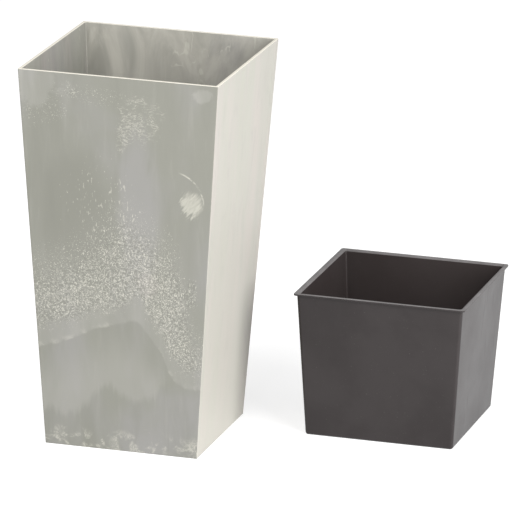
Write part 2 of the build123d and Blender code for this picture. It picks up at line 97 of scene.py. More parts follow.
class Shader:
    """A material under construction: short methods that each add a few nodes and return an output."""

    def __init__(self, name):
        self.material = bpy.data.materials.new(name)
        self.material.use_nodes = True
        self.tree = self.material.node_tree
        self.surface = self.tree.nodes["Principled BSDF"]
        coordinates = self.tree.nodes.new("ShaderNodeTexCoord")
        self.place = coordinates.outputs["Object"]
        self.normal = coordinates.outputs["Normal"]

    def feed(self, socket, value):
        """Links an output to a socket, or sets the socket to a plain value."""
        if isinstance(value, bpy.types.NodeSocket):
            self.tree.links.new(value, socket)
        else:
            socket.default_value = value

    def math(self, operation, first, second=None):
        """One math node."""
        node = self.tree.nodes.new("ShaderNodeMath")
        node.operation = operation
        self.feed(node.inputs[0], first)
        if second is not None:
            self.feed(node.inputs[1], second)
        return node.outputs[0]

    def add(self, *values):
        """The sum of two or more values."""
        total = values[0]
        for value in values[1:]:
            total = self.math("ADD", total, value)
        return total

    def times(self, *values):
        """The product of two or more values."""
        product = values[0]
        for value in values[1:]:
            product = self.math("MULTIPLY", product, value)
        return product

    def most(self, *values):
        """The largest of two or more values."""
        largest = values[0]
        for value in values[1:]:
            largest = self.math("MAXIMUM", largest, value)
        return largest

    def less(self, first, second):
        """The first value with the second taken off it."""
        return self.math("SUBTRACT", first, second)

    def inverse(self, value):
        """One minus a value."""
        return self.less(1.0, value)

    def sway(self, noise, amount):
        """A noise as a swing of that amount about nothing."""
        return self.times(self.less(noise, 0.5), amount)

    def off(self, value, middle):
        """How far a value is from a middle, either way."""
        return self.math("ABSOLUTE", self.less(value, middle))

    def distance(self, first, second):
        """The length of the line whose two sides are given."""
        return self.math("SQRT", self.add(self.times(first, first), self.times(second, second)))

    def split(self, vector):
        """A vector's three parts."""
        node = self.tree.nodes.new("ShaderNodeSeparateXYZ")
        self.feed(node.inputs[0], vector)
        return node.outputs[0], node.outputs[1], node.outputs[2]

    def joined(self, x, y, z):
        """A vector made of three parts."""
        node = self.tree.nodes.new("ShaderNodeCombineXYZ")
        for socket, value in zip(node.inputs, (x, y, z)):
            self.feed(socket, value)
        return node.outputs[0]

    def stretched(self, scale, shift):
        """Object coordinates, scaled on each axis and moved."""
        node = self.tree.nodes.new("ShaderNodeMapping")
        self.feed(node.inputs["Vector"], self.place)
        node.inputs["Scale"].default_value = scale
        node.inputs["Location"].default_value = shift
        return node.outputs[0]

    def noise(self, scale, detail, roughness, distortion=0.0, stretch=None, shift=(0.0, 0.0, 0.0),
              source=None):
        """A noise on object coordinates, stretched and shifted where that is asked for, or on source."""
        if stretch is not None:
            source = self.stretched(stretch, shift)
        node = self.tree.nodes.new("ShaderNodeTexNoise")
        self.feed(node.inputs["Vector"], source or self.place)
        node.inputs["Scale"].default_value = scale
        node.inputs["Detail"].default_value = detail
        node.inputs["Roughness"].default_value = roughness
        node.inputs["Distortion"].default_value = distortion
        return node.outputs["Fac"]

    def cells(self, scale):
        """Distance from the middles of scattered cells."""
        node = self.tree.nodes.new("ShaderNodeTexVoronoi")
        self.feed(node.inputs["Vector"], self.place)
        node.inputs["Scale"].default_value = scale
        return node.outputs["Distance"]

    def step(self, value, low, high):
        """Rises smoothly from 0 to 1 as value goes from low to high."""
        node = self.tree.nodes.new("ShaderNodeMapRange")
        node.interpolation_type = "SMOOTHSTEP"
        self.feed(node.inputs["Value"], value)
        self.feed(node.inputs["From Min"], low)
        self.feed(node.inputs["From Max"], high)
        return node.outputs["Result"]

    def band(self, value, start, end):
        """1 between two smooth steps, the first up and the second down."""
        return self.times(self.step(value, *start), self.inverse(self.step(value, *end)))

    def spread(self, value, low, high, out_low, out_high):
        """Maps a range evenly onto another."""
        node = self.tree.nodes.new("ShaderNodeMapRange")
        self.feed(node.inputs["Value"], value)
        node.inputs["From Min"].default_value = low
        node.inputs["From Max"].default_value = high
        node.inputs["To Min"].default_value = out_low
        node.inputs["To Max"].default_value = out_high
        return node.outputs["Result"]

    def curve(self, value, points):
        """A smooth curve through a few points, each from 0 to 1 on both axes."""
        node = self.tree.nodes.new("ShaderNodeFloatCurve")
        self.feed(node.inputs["Value"], value)
        line = node.mapping.curves[0]
        line.points[0].location = points[0]
        line.points[1].location = points[-1]
        for point in points[1:-1]:
            line.points.new(*point)
        node.mapping.update()
        return node.outputs["Value"]

    def mix(self, amount, first, second):
        """Blends two colours."""
        node = self.tree.nodes.new("ShaderNodeMix")
        node.data_type = "RGBA"
        for socket, value in ((MIX_FACTOR, amount), (MIX_FIRST, first), (MIX_SECOND, second)):
            self.feed(node.inputs[socket], value)
        return node.outputs[MIX_RESULT]

    def bump(self, height, distance, strength, below=None):
        """Fine relief, over another one if below is given; distance is its depth in metres."""
        node = self.tree.nodes.new("ShaderNodeBump")
        node.inputs["Strength"].default_value = strength
        node.inputs["Distance"].default_value = distance
        self.feed(node.inputs["Height"], height)
        if below is not None:
            self.feed(node.inputs["Normal"], below)
        return node.outputs["Normal"]

    def finish(self, **sockets):
        """Feeds the surface shader: socket names, with _ for each space."""
        for name, value in sockets.items():
            self.feed(self.surface.inputs[name.replace("_", " ")], value)
        return self.material


def srgb(red, green, blue):
    """A colour given as it looks, 0 to 255, as the linear values that a shader takes."""
    linear = []
    for channel in (red, green, blue):
        part = channel / 255
        linear.append(part / 12.92 if part <= 0.04045 else ((part + 0.055) / 1.055) ** 2.4)
    return (*linear, 1.0)


# ---------------------------------------------------------------- the pot's stone-effect composite
STONE = srgb(118, 118, 110)
STONE_DARK = srgb(107, 107, 99)
STONE_LILAC = srgb(126, 125, 122)
STONE_PALE = srgb(140, 139, 133)
CREAM = srgb(175, 173, 162)
RIM_CREAM = srgb(202, 198, 186)
# painted light: the paler tone of the right wall and the inside of the pot, and a lighter one over it
PAINTED_LIGHT_PALE = srgb(152, 150, 143)
PAINTED_LIGHT_BRIGHT = srgb(170, 167, 158)
PINK_TINT = srgb(159, 152, 147)
GREEN_TINT = srgb(151, 151, 141)

# Noises that the washes and marks share: scale, detail, roughness and distortion, then stretch and shift
STONE_NOISES = {
    "wander": (7.0, 3.0, 0.55),
    "clouds": (5.0, 4.0, 0.55, 0.6, (1.0, 1.0, 0.55)),
    "blotches": (17.0, 4.0, 0.6, 1.2, (1.0, 1.0, 0.42), (1.0, 3.0, 6.0)),
    "smears": (22.0, 4.0, 0.6, 0.8, (1.0, 1.0, 0.16)),
    "fine_smears": (110.0, 3.0, 0.6, 0.0, (1.0, 1.0, 0.09), (3.0, 1.0, 2.0)),
    "frayed": (34.0, 4.0, 0.70, 0.4),
    "tints": (24.0, 3.0, 0.5, 0.6, (1.0, 1.0, 0.12), (7.0, 4.0, 1.0)),
    "streaks": (60.0, 3.0, 0.6, 1.0, (1.0, 1.0, 0.2)),
    "clusters": (12.0, 4.0, 0.6, 0.8, (1.0, 1.0, 0.7), (5.0, 2.0, 1.0)),
    "worms": (235.0, 1.0, 0.5, 0.6),
    "grains": (500.0, 1.0, 0.5),
    "dashes": (300.0, 2.0, 0.5, 0.2, (1.0, 1.0, 0.40), (0.4, 0.7, 0.2)),
    "gaps": (80.0, 2.0, 0.5),
    "crust": (38.0, 3.0, 0.6, 0.6),
    "grain": (900.0, 2.0, 0.5),
    "swell": (9.0, 2.0, 0.5),
}

# Thin wandering lines: scale, stretch, shift and thickness
LEVEL_THREADS = (95.0, (1.0, 1.0, 2.6), (0.3, 0.0, 0.8), 0.045)
CURL_THREADS = (36.0, (1.0, 1.0, 0.60), (2.0, 6.0, 0.0), 0.030)
LACE_THREADS = (120.0, (1.0, 1.0, 0.8), (0.1, 0.9, 0.4), 0.07)
# the solid part of their thickness, then how strongly each kind shows and where the curls do
THREAD_CORE = 0.3
LEVEL_STRENGTH = 0.6
CURL_STRENGTH = 0.75
CURLS_HERE = (0.0, 0.5)

# Edges of the washes on a wall, as points across it and then up it, each from 0 to 1
DRIFT_LOW = [(0.0, 0.256), (0.24, 0.299), (0.44, 0.336), (0.52, 0.345), (0.60, 0.350),
             (0.657, 0.325), (0.70, 0.303), (0.755, 0.275), (0.775, 0.250), (0.82, 0.215),
             (0.89, 0.192), (1.0, 0.192)]
DRIFT_HIGH = [(0.0, 0.45), (0.20, 0.49), (0.40, 0.56), (0.50, 0.60), (0.62, 0.58),
              (0.72, 0.55), (0.80, 0.52), (0.86, 0.45), (0.91, 0.33), (1.0, 0.26)]
FIELD_LOW = [(0.0, 0.10), (0.16, 0.09), (0.30, 0.12), (0.37, 0.165), (0.46, 0.165),
             (0.53, 0.15), (0.60, 0.135), (0.70, 0.16), (0.80, 0.20), (1.0, 0.22)]

# How softly the washes start and end past those edges, as parts of the wall's height
DRIFT_START = (0.006, 0.085)
DRIFT_END = (-0.14, 0.09)
MARGIN_START = (-0.004, 0.006)
MARGIN_END = (0.01, 0.12)
DRIED_START = (-0.003, 0.003)
DRIED_END = (0.003, 0.022)
FIELD_START = (-0.016, 0.016)
FIELD_END = (-0.14, 0.0)
FOOT_BAND = (0.030, 0.065)
# the foot's crust: how much of it is plain, and how much is lace
CRUST_BASE = 0.25
CRUST_LACE = 0.60

# How far noises push the washes' edges up and down, and how far the drift drops on the back and left
# walls, all as parts of the wall's height
WANDER_SWAY = 0.04
EDGE_SWAY = 0.016
CRUMB_SWAY = 0.07
WISP_SWAY = 0.07
FOOT_SWAY = 0.05
LOWERED_BY = 0.10

# How far the washes and crumbs show on the other outer walls and inside, and the gap at the drift's peak
OTHER_WALLS_PAINT = 0.9
OTHER_WALLS_CRUMBS = 0.4
INSIDE_CRUMBS = 0.30
TONGUE_GAP = 0.75

# Cuts through noises, from none to all, then even ranges: the value's low and high, and the result's
GROUND_CUT = (0.42, 0.66)
SMEAR_CUT = (0.42, 0.70)
FINE_SMEAR_CUT = (0.52, 0.78)
CLUSTER_CUT = (0.54, 0.70)
DRIED_CUT = (0.46, 0.66)
CRUST_CUT = (0.48, 0.60)
LACE_CUT = (0.52, 0.60)
GAP_CUT = (0.38, 0.55)
MARGIN_BLOTCHES = (0.35, 0.62, 1.0, 0.45)
CORNER_SMEARS = (0.35, 0.65, 1.0, 0.45)
# painted light: how patchily it lies inside the pot, how patchily it lightens the back inner wall further,
# and how much lighter the right wall is from its top to its foot
INSIDE_PAINTED_LIGHT_BLOTCHES = (0.36, 0.64, 0.75, 0.35)
BACK_INSIDE_PAINTED_LIGHT_BLOTCHES = (0.38, 0.66, 1.0, 0.65)
RIGHT_WALL_FOOT_PAINTED_LIGHT = (0.0, 1.0, 0.65, 0.0)

# Soft marks on the front wall: the middle across and up it and half the size across and up, all as parts
# of the wall, then the noise that breaks the edge up and how much it does
MARKS = {
    "left_cloud": (0.06, 0.965, 0.17, 0.060, "frayed", 2.0),
    "left_fringe": (0.09, 0.930, 0.20, 0.085, "frayed", 2.4),
    "right_cloud": (0.93, 0.972, 0.050, 0.018, "frayed", 2.6),
    "squiggles": (0.60, 0.890, 0.12, 0.062, "frayed", 2.6),
    "squiggle_tail": (0.52, 0.835, 0.035, 0.040, "frayed", 2.2),
    "top_traces": (0.40, 0.945, 0.18, 0.030, "frayed", 1.6),
    "lilac_band": (0.60, 0.64, 0.12, 0.25, "smears", 1.0),
    "dark_zone": (0.28, 0.62, 0.24, 0.20, "wander", 1.2),
    "sprinkle": (0.42, 0.66, 0.26, 0.16, "frayed", 1.0),
    "tongue": (0.595, 0.385, 0.050, 0.055, "frayed", 1.6),
    "warm_spot": (0.66, 0.455, 0.075, 0.032, "frayed", 2.2),
    "side_crumbs": (0.92, 0.44, 0.045, 0.050, "frayed", 1.6),
}
MARK_EDGE = (0.55, 1.1)
# how far the left cloud hides the fringe under it
CLOUD_OVER_FRINGE = 0.8
# how thickly crumbs lie on the marks that have them
MARK_CRUMBS = {"squiggles": 0.20, "side_crumbs": 0.75, "left_fringe": 0.40, "top_traces": 0.38}

# The dab of a dry brush, placed like the marks, and the curved stroke over it, in metres
BRUSHED = (0.893, 0.682, 0.066, 0.036)
BRISTLE_NOISE = (5.0, 2.0, 0.6, 0.3)
BRISTLE_SLANT = 0.8
BRISTLE_ALONG = 0.22
BRISTLE_LAYER = 4.0
BRISTLE_MIDDLE = 0.48
BRISTLE_REACH = (-1.2, 0.8, 2.2, 0.5)
BRISTLE_COVER = (0.35, 0.65, 1.0, 0.65)
STROKE_MIDDLE = (0.086, 0.419)
STROKE_RADIUS = 0.052
STROKE_LINE = (0.0004, 0.0018)
STROKE_ACROSS = (0.010, 0.024)
STROKE_UP = (-0.002, 0.010)
STROKE_CUT = (0.42, 0.54)

# Crumbs: how wide a worm of slip grows, in the noise it follows, and where any lie at all
WORM_WIDTH = 0.052
WORM_CORE = 0.45
WORM_SOFT = 0.004
CRUMBS_HERE = (0.02, 0.25)
# where the noises of grains and dashes are cut, first with no crumbs lying and then with most
GRAIN_CUT_LOW = (0.60, 0.44)
GRAIN_CUT_HIGH = (0.66, 0.52)
DASH_CUT = (0.76, 0.57)
DASH_SOFT = 0.06
DASHES_IN_COVER = 0.8
DASHES_IN_SPRINKLE = 0.75
DASH_STRENGTH = 0.55
HOLLOW_CUT = (0.07, 0.13)
HOLLOWS_HERE = (0.3, 0.9)

# Soft upright tints of the paler wash, which is painted light on the right wall and inside the pot: where
# their noise is cut, and how strong they are, then how fully the painted light covers the right wall
PINK_CUT = (0.46, 0.68)
GREEN_CUT = (0.32, 0.54)
STREAK_CUT = (0.52, 0.66)
TINT_STRENGTH = 0.7
STREAK_STRENGTH = 0.35
RIGHT_WALL_PAINTED_LIGHT = 0.97

# The bare edge of the rim, in metres below the top, and what faces up enough to be it
RIM_DEPTH = (0.0016, 0.0006)
FACES_UP = (0.2, 0.6)

# The composite's feel: roughness over its clouds and on what is raised, and relief's depth and strength
STONE_ROUGHNESS = (0.3, 0.7, 0.46, 0.60)
RAISED_ROUGHNESS = 0.14
RAISED_HEIGHT = 0.6
GRAIN_HEIGHT = 0.5
STONE_RELIEF = (0.00025, 0.6)
SWELL_RELIEF = (0.0012, 0.25)
STONE_SHINE = 0.4


def pot_walls(s):
    """Where a point is on the pot: across and up its wall from 0 to 1, and which wall that is."""
    x, y, z = s.split(s.place)
    nx, ny, nz = s.split(s.normal)
    half = s.add(POT_BASE_HALF, s.times(z, POT_SLOPE))
    side_wall = s.math("GREATER_THAN", s.math("ABSOLUTE", nx), s.math("ABSOLUTE", ny))
    end_wall = s.inverse(side_wall)
    outward = s.math("GREATER_THAN", s.add(s.times(nx, x), s.times(ny, y)), 0.0)
    inside = s.inverse(outward)
    right = s.times(side_wall, outward, s.math("GREATER_THAN", x, 0.0))
    front = s.times(end_wall, outward, s.math("LESS_THAN", y, 0.0))
    other = s.times(outward, s.times(s.inverse(right), s.inverse(front)))
    back = s.times(other, end_wall)
    flat = s.math("DIVIDE", s.add(s.times(side_wall, y), s.times(end_wall, x)), half)
    mirrored = s.add(s.times(back, -2.0), 1.0)
    across = s.add(s.times(flat, mirrored, 0.5), 0.5)
    return SimpleNamespace(
        x=x, z=z, facing_up=nz, front=front, right=right, other=other, inside=inside, across=across,
        back_inside=s.times(inside, end_wall, s.math("GREATER_THAN", y, 0.0)),
        lowered=s.add(back, s.times(other, side_wall, across)),
        up=s.math("DIVIDE", z, POT_HEIGHT))


def oval(s, wall, across, up, half_across, half_up):
    """How far off the middle of an oval a point is, across and up, in half-sizes."""
    off_across = s.math("DIVIDE", s.less(wall.across, across), half_across)
    off_up = s.math("DIVIDE", s.less(wall.up, up), half_up)
    return off_across, off_up


def patch(s, wall, place, noise, fray):
    """A soft oval mark on a wall, 1 in its middle, whose edge a noise breaks up."""
    distance = s.distance(*oval(s, wall, *place))
    return s.inverse(s.step(s.add(distance, s.sway(noise, fray)), *MARK_EDGE))


def front_marks(s, wall, noises):
    """Every soft mark on the front wall, by name."""
    marks = {}
    for name, (*place, noise, fray) in MARKS.items():
        marks[name] = patch(s, wall, place, getattr(noises, noise), fray)
    marks["squiggles"] = s.most(marks["squiggles"], marks.pop("squiggle_tail"))
    clear_of_cloud = s.inverse(s.times(marks["left_cloud"], CLOUD_OVER_FRINGE))
    marks["left_fringe"] = s.times(marks["left_fringe"], clear_of_cloud)
    return marks


def bristly(s, wall):
    """A dab of a dry brush: an oval whose edge runs out in fine bristle lines, most to the lower left."""
    off_across, off_up = oval(s, wall, *BRUSHED)
    along = s.add(off_across, s.times(off_up, BRISTLE_SLANT))
    cross = s.less(s.times(off_up, BRISTLE_SLANT), off_across)
    bristles = s.noise(*BRISTLE_NOISE,
                       source=s.joined(s.times(along, BRISTLE_ALONG), cross, BRISTLE_LAYER))
    ragged = s.spread(along, *BRISTLE_REACH)
    reach = s.add(s.distance(off_across, off_up), s.times(s.less(bristles, BRISTLE_MIDDLE), ragged))
    return s.times(s.inverse(s.step(reach, *MARK_EDGE)), s.spread(bristles, *BRISTLE_COVER))


def stroke(s, wall, breaks):
    """One thin curved brush stroke, above the brushed dab."""
    off_x = s.less(wall.x, STROKE_MIDDLE[0])
    off_z = s.less(wall.z, STROKE_MIDDLE[1])
    line = s.inverse(s.step(s.off(s.distance(off_x, off_z), STROKE_RADIUS), *STROKE_LINE))
    quarter = s.times(s.step(off_x, *STROKE_ACROSS), s.step(off_z, *STROKE_UP))
    return s.times(line, quarter, s.step(breaks, *STROKE_CUT))


def threads(s, scale, stretch, shift, thickness):
    """Thin wandering lines, along the contours of a noise."""
    field = s.noise(scale, 2.0, 0.55, 0.5, stretch, shift)
    return s.inverse(s.step(s.off(field, 0.5), thickness * THREAD_CORE, thickness))


def washes(s, wall, noises, marks):
    """The drift of crumbs, the margin and edge it dried to, and the field below, each from 0 to 1."""
    painted = s.add(wall.front, s.times(wall.other, OTHER_WALLS_PAINT))
    height = s.add(wall.up, s.sway(noises.wander, WANDER_SWAY), s.times(wall.lowered, -LOWERED_BY))
    above_low = s.less(s.add(height, s.sway(noises.frayed, EDGE_SWAY)), s.curve(wall.across, DRIFT_LOW))
    below_high = s.less(s.curve(wall.across, DRIFT_HIGH), height)
    started = s.step(s.add(above_low, s.sway(noises.frayed, CRUMB_SWAY)), *DRIFT_START)
    wisps = s.less(s.add(height, s.sway(noises.fine_smears, WISP_SWAY)), s.curve(wall.across, FIELD_LOW))
    margin = s.times(s.band(above_low, MARGIN_START, MARGIN_END),
                     s.spread(noises.blotches, *MARGIN_BLOTCHES))
    dried = s.times(s.band(above_low, DRIED_START, DRIED_END), s.step(noises.frayed, *DRIED_CUT))
    field = s.times(s.step(wisps, *FIELD_START), s.inverse(s.step(above_low, *FIELD_END)))
    return SimpleNamespace(
        painted=painted,
        drift=s.times(started, s.step(below_high, *DRIFT_END), painted,
                      s.inverse(s.times(marks["tongue"], TONGUE_GAP))),
        margin=s.times(margin, painted), dried=s.times(dried, painted), field=s.times(field, painted))


def crumb_cover(s, wall, drift, marks, clusters):
    """How thickly crumbs lie: the drift, the front wall's own marks and a few loose clusters elsewhere."""
    on_marks = s.add(*(s.times(marks[name], cover) for name, cover in MARK_CRUMBS.items()))
    elsewhere = s.add(s.times(wall.inside, INSIDE_CRUMBS), s.times(wall.other, OTHER_WALLS_CRUMBS))
    cover = s.add(drift, s.times(wall.front, on_marks), s.times(clusters, elsewhere))
    return s.math("MINIMUM", cover, 1.0)


def slip_crumbs(s, wall, noises, marks, cover):
    """Short worms of dried slip, thinning out to upright dashes, and the hollows between them."""
    off_worm = s.off(noises.worms, 0.5)
    width = s.spread(cover, 0.0, 1.0, 0.0, WORM_WIDTH)
    worms = s.inverse(s.step(off_worm, s.times(width, WORM_CORE), s.add(width, WORM_SOFT)))
    grains = s.step(noises.grains, s.spread(cover, 0.0, 1.0, *GRAIN_CUT_LOW),
                    s.spread(cover, 0.0, 1.0, *GRAIN_CUT_HIGH))
    worms = s.times(worms, grains, s.step(cover, *CRUMBS_HERE))
    dash_cover = s.most(s.times(cover, DASHES_IN_COVER),
                        s.times(marks["sprinkle"], wall.front, DASHES_IN_SPRINKLE))
    limit = s.spread(dash_cover, 0.0, 1.0, *DASH_CUT)
    dashes = s.times(s.step(noises.dashes, limit, s.add(limit, DASH_SOFT)),
                     s.step(dash_cover, *CRUMBS_HERE))
    hollows = s.times(s.step(off_worm, *HOLLOW_CUT), s.step(cover, *HOLLOWS_HERE))
    return s.most(worms, s.times(dashes, DASH_STRENGTH)), hollows


def brush_lines(s, wall, noises, marks, clusters):
    """Level squiggles and one stroke on the front wall, and upright curls inside the pot."""
    level = s.times(threads(s, *LEVEL_THREADS), s.times(marks["squiggles"], wall.front),
                    s.step(noises.gaps, *GAP_CUT))
    curls = s.times(threads(s, *CURL_THREADS), s.step(clusters, *CURLS_HERE))
    return s.most(s.times(level, LEVEL_STRENGTH), s.times(curls, s.times(wall.inside, CURL_STRENGTH)),
                  s.times(stroke(s, wall, noises.frayed), wall.front))


def foot_crust(s, wall, noises):
    """Crusty flecks just above the foot."""
    foot = s.inverse(s.step(s.add(wall.up, s.sway(noises.smears, FOOT_SWAY)), *FOOT_BAND))
    lace = s.most(threads(s, *LACE_THREADS), s.step(noises.grains, *LACE_CUT))
    return s.times(foot, s.step(noises.crust, *CRUST_CUT), s.add(CRUST_BASE, s.times(lace, CRUST_LACE)))


def painted_light_wash(s, wall, noises):
    """Painted light on the right wall and inside the pot: a paler wash with the stone's own soft upright
    tints, lighter still on the back inner wall and toward the right wall's foot, and how far it covers.
    """
    cover = s.most(s.times(wall.right, RIGHT_WALL_PAINTED_LIGHT),
                   s.times(wall.inside, s.spread(noises.blotches, *INSIDE_PAINTED_LIGHT_BLOTCHES)))
    tone = s.mix(s.times(s.step(noises.tints, *PINK_CUT), TINT_STRENGTH), PAINTED_LIGHT_PALE, PINK_TINT)
    tone = s.mix(s.times(s.inverse(s.step(noises.tints, *GREEN_CUT)), TINT_STRENGTH), tone, GREEN_TINT)
    tone = s.mix(s.times(s.step(noises.streaks, *STREAK_CUT), STREAK_STRENGTH), tone, STONE_PALE)
    # painted light: lighter patches on the back inner wall, and the right wall lighter toward its foot
    light = s.most(s.times(wall.back_inside, s.spread(noises.blotches, *BACK_INSIDE_PAINTED_LIGHT_BLOTCHES)),
                   s.times(wall.right, s.spread(wall.up, *RIGHT_WALL_FOOT_PAINTED_LIGHT)))
    return s.mix(light, tone, PAINTED_LIGHT_BRIGHT), cover


def stone_effect():
    """A stone ground with washes, then crumbs, lines and crust on top, and the moulding's bare rim."""
    s = Shader("stone_effect_composite")
    wall = pot_walls(s)
    noises = SimpleNamespace(**{name: s.noise(*settings) for name, settings in STONE_NOISES.items()})
    marks = front_marks(s, wall, noises)
    wash = washes(s, wall, noises, marks)
    clusters = s.step(noises.clusters, *CLUSTER_CUT)
    cover = crumb_cover(s, wall, wash.drift, marks, clusters)
    crumbs, hollows = slip_crumbs(s, wall, noises, marks, cover)
    lines = brush_lines(s, wall, noises, marks, clusters)
    crust = s.times(foot_crust(s, wall, noises), wash.painted)
    painted_light_tone, painted_light_cover = painted_light_wash(s, wall, noises)
    pale_corners = s.times(s.add(s.times(marks["left_cloud"], 0.65), s.times(marks["right_cloud"], 0.70)),
                           s.spread(noises.smears, *CORNER_SMEARS))
    rim = s.times(s.step(wall.z, *(POT_HEIGHT - depth for depth in RIM_DEPTH)),
                  s.step(wall.facing_up, *FACES_UP))

    # each layer over the ones before it: where it lies, how strongly, and its colour
    layers = (
        (s.step(noises.smears, *SMEAR_CUT), 0.32, STONE_DARK),
        (s.step(noises.fine_smears, *FINE_SMEAR_CUT), 0.20, STONE_PALE),
        (s.times(marks["dark_zone"], wall.front), 0.5, STONE_DARK),
        (s.times(marks["lilac_band"], wall.front), 0.8, STONE_LILAC),
        # the paler wispy field low on the walls: the wisps are the stone's own marks, and its lightening is
        # partly painted light where the light falls off toward the foot
        (wash.field, 0.42, STONE_PALE),
        (wash.margin, 0.50, STONE_PALE),
        (wash.dried, 0.26, CREAM),
        (s.times(wall.front, pale_corners), 1.0, STONE_PALE),
        (s.times(marks["warm_spot"], wall.front), 0.30, PINK_TINT),
        (wash.drift, 0.25, STONE_PALE),
        # painted light: the right wall and the inside of the pot paler
        (painted_light_cover, 1.0, painted_light_tone),
        (hollows, 0.6, STONE_DARK),
        (crumbs, 0.78, CREAM),
        (lines, 0.70, CREAM),
        (s.times(bristly(s, wall), wall.front), 0.60, CREAM),
        (crust, 0.60, CREAM),
        (rim, 1.0, RIM_CREAM),
    )
    colour = s.mix(s.step(noises.clouds, *GROUND_CUT), STONE, STONE_LILAC)
    for where, strength, tone in layers:
        colour = s.mix(s.times(where, strength), colour, tone)

    raised = s.most(crumbs, lines, crust)
    roughness = s.add(s.spread(noises.clouds, *STONE_ROUGHNESS), s.times(raised, RAISED_ROUGHNESS))
    relief = s.bump(s.add(s.times(raised, RAISED_HEIGHT), s.times(noises.grain, GRAIN_HEIGHT)), *STONE_RELIEF)
    relief = s.bump(noises.swell, *SWELL_RELIEF, relief)
    return s.finish(Base_Color=colour, Roughness=roughness, Normal=relief, Specular_IOR_Level=STONE_SHINE)


# ---------------------------------------------------------------- moulded plastics
DUST_TONE = srgb(150, 146, 140)
# a painted highlight on the liner's flange top
PAINTED_FLANGE_HIGHLIGHT = srgb(104, 101, 101)
# the lighter tone of the liner's inside
INSIDE_TONE = srgb(56, 50, 49)
LIFT = 0.004
FLOW_STRENGTH = 0.35
DUST_CUT = (0.70, 0.76)
DUST_STRENGTH = 0.10
SCUFF_CUT = (0.64, 0.72)
SCUFF_ROUGHNESS = 0.05
# the mould grain's noise scale, and depths of relief in metres
GRAIN_SIZE = 700.0
GRAIN_DEPTH = 0.00006
POLISHED_DEPTH = 0.00002
SINK_DEPTH = 0.0010
# the top of the liner's flange, in metres below its top, which gets a painted highlight, and the height its
# lighter inside starts from
FLANGE_TOP = (0.0032, 0.0024)
INSIDE_TONE_FROM = 0.1


def moulded(name, colour, roughness, grain_depth=GRAIN_DEPTH, mottle=0.12, specular=0.5, shell=None):
    """Moulded plastic: slight mottling, fine mould grain, faint scuffs and a gentle sink in flat walls."""
    s = Shader(name)
    lighter = tuple(min(1.0, channel * (1 + mottle) + LIFT) for channel in colour[:3]) + (1.0,)
    darker = tuple(channel * (1 - mottle) for channel in colour[:3]) + (1.0,)
    clouds = s.noise(9.0, 4.0, 0.6)
    flow = s.noise(60.0, 3.0, 0.6, 0.3, (1.0, 1.0, 0.15))
    tone = s.mix(s.step(clouds, 0.35, 0.65), darker, lighter)
    tone = s.mix(s.times(s.step(flow, 0.5, 0.75), FLOW_STRENGTH), tone, lighter)
    dust = s.step(s.noise(420.0, 2.0, 0.5), *DUST_CUT)
    tone = s.mix(s.times(dust, DUST_STRENGTH), tone, DUST_TONE)
    if shell is not None:
        tone = shell(s, tone)
    scuffs = s.step(s.noise(150.0, 2.0, 0.5, 0.0, (1.0, 1.0, 0.05), (2.0, 0.0, 0.0)), *SCUFF_CUT)
    rough = s.add(s.spread(clouds, 0.3, 0.7, roughness - 0.04, roughness + 0.05),
                  s.times(scuffs, SCUFF_ROUGHNESS))
    relief = s.bump(s.noise(GRAIN_SIZE, 2.0, 0.5), grain_depth, 0.5)
    relief = s.bump(s.noise(8.0, 1.0, 0.4), SINK_DEPTH, 0.15, relief)
    return s.finish(Base_Color=tone, Roughness=rough, Normal=relief, Specular_IOR_Level=specular)


def liner_highlight_and_inside(s, tone):
    """The liner's tones: a painted highlight on its flange's top, broken up by a noise, and a lighter inside,
    more so lower down.
    """
    x, y, z = s.split(s.place)
    nx, ny, nz = s.split(s.normal)
    # the flange's up-facing top gets a painted highlight, broken up by a noise
    top = s.times(s.step(z, *(LINER_TOP - depth for depth in FLANGE_TOP)), s.step(nz, 0.3, 0.6))
    highlight_breakup = s.spread(s.noise(40.0, 3.0, 0.6), 0.3, 0.7, 0.65, 1.0)
    tone = s.mix(s.times(top, highlight_breakup), tone, PAINTED_FLANGE_HIGHLIGHT)
    # the inside is lighter, more so lower down
    outward = s.add(s.times(nx, s.less(x, LINER_X)), s.times(ny, s.less(y, LINER_Y)))
    inside = s.times(s.math("LESS_THAN", outward, 0.0), s.inverse(top))
    return s.mix(s.times(inside, s.spread(z, INSIDE_TONE_FROM, LINER_TOP, 0.75, 0.55)), tone, INSIDE_TONE)


def rubber():
    """Matt black rubber with a greyish bloom."""
    s = Shader("seal_rubber")
    bloom = s.noise(60.0, 3.0, 0.6)
    tone = s.mix(bloom, srgb(30, 30, 30), srgb(46, 45, 44))
    return s.finish(Base_Color=tone, Roughness=s.spread(bloom, 0.3, 0.7, 0.62, 0.78),
                    Normal=s.bump(s.noise(1200.0, 2.0, 0.5), 0.00004, 0.6))


def felt():
    """Cream felt: clumped fibres with a soft sheen."""
    s = Shader("wick_felt")
    fibres = s.noise(900.0, 4.0, 0.7, 1.5, (1.0, 1.0, 0.35))
    clumps = s.noise(160.0, 3.0, 0.6, 0.5)
    tone = s.mix(s.step(clumps, 0.35, 0.7), srgb(196, 190, 176), srgb(222, 217, 204))
    tone = s.mix(s.times(s.step(fibres, 0.55, 0.7), 0.4), tone, srgb(168, 160, 146))
    relief = s.bump(s.add(fibres, clumps), 0.0006, 0.8)
    return s.finish(Base_Color=tone, Roughness=0.95, Normal=relief, Sheen_Weight=0.4, Sheen_Roughness=0.5)


def thread():
    """The wicks' twisted tie thread."""
    s = Shader("wick_tie_thread")
    strands = s.noise(1400.0, 2.0, 0.6, 0.0, (1.0, 1.0, 2.5))
    tone = s.mix(strands, srgb(96, 92, 84), srgb(150, 144, 132))
    return s.finish(Base_Color=tone, Roughness=0.85, Normal=s.bump(strands, 0.0002, 0.6))


